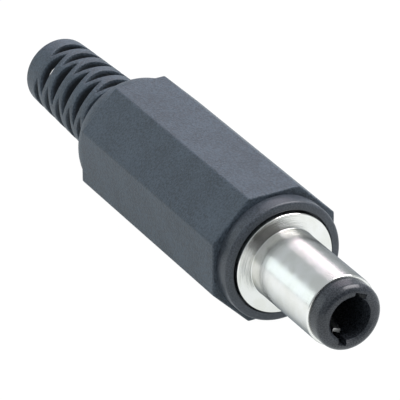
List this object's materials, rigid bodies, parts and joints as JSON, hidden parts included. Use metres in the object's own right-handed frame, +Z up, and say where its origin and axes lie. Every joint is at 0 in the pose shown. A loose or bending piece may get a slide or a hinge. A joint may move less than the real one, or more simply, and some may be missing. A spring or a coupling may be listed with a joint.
{
  "type": "dc barrel plug",
  "caption": "Straight cable plug for dc power: metal shaft with a keyed insulating nose, round collar, and an octagonal screw-on grip that ends in a slotted bend relief.",
  "frame": {"origin": "on the shaft's axis, at the front face of the metal flange, where the plug stops against its socket", "axes": "+X along the plug towards its tip, +Z up with the grip lying on one of its flats, +Y to the left when looking along +X"},
  "size_m": [0.0448, 0.01, 0.01],
  "materials": {
    "grip_plastic": "black plastic with a fine spark-eroded texture",
    "carrier_plastic": "satin black plastic",
    "nickel_plate": "bright nickel plate on turned brass",
    "tinned_brass": "matte tin plate on stamped brass",
    "nose_plastic": "satin black plastic",
    "fork_plate": "nickel plate on phosphor bronze",
    "washer_fibre": "brown laminated fibre"
  },
  "bodies": {
    "plug": {"contact_carrier": "carrier_plastic", "barrel_contact": "nickel_plate", "ground_lug": "tinned_brass", "insulating_sleeve": "nose_plastic", "fork_contact": "fork_plate", "rear_washer": "washer_fibre", "centre_lug": "tinned_brass"},
    "grip": {"grip": "grip_plastic"}
  },
  "joints": [
    {"name": "grip_pull", "type": "slide", "parent": "plug", "child": "grip", "axis": [-1, 0, 0], "range_m": [0, 0.017]}
  ]
}
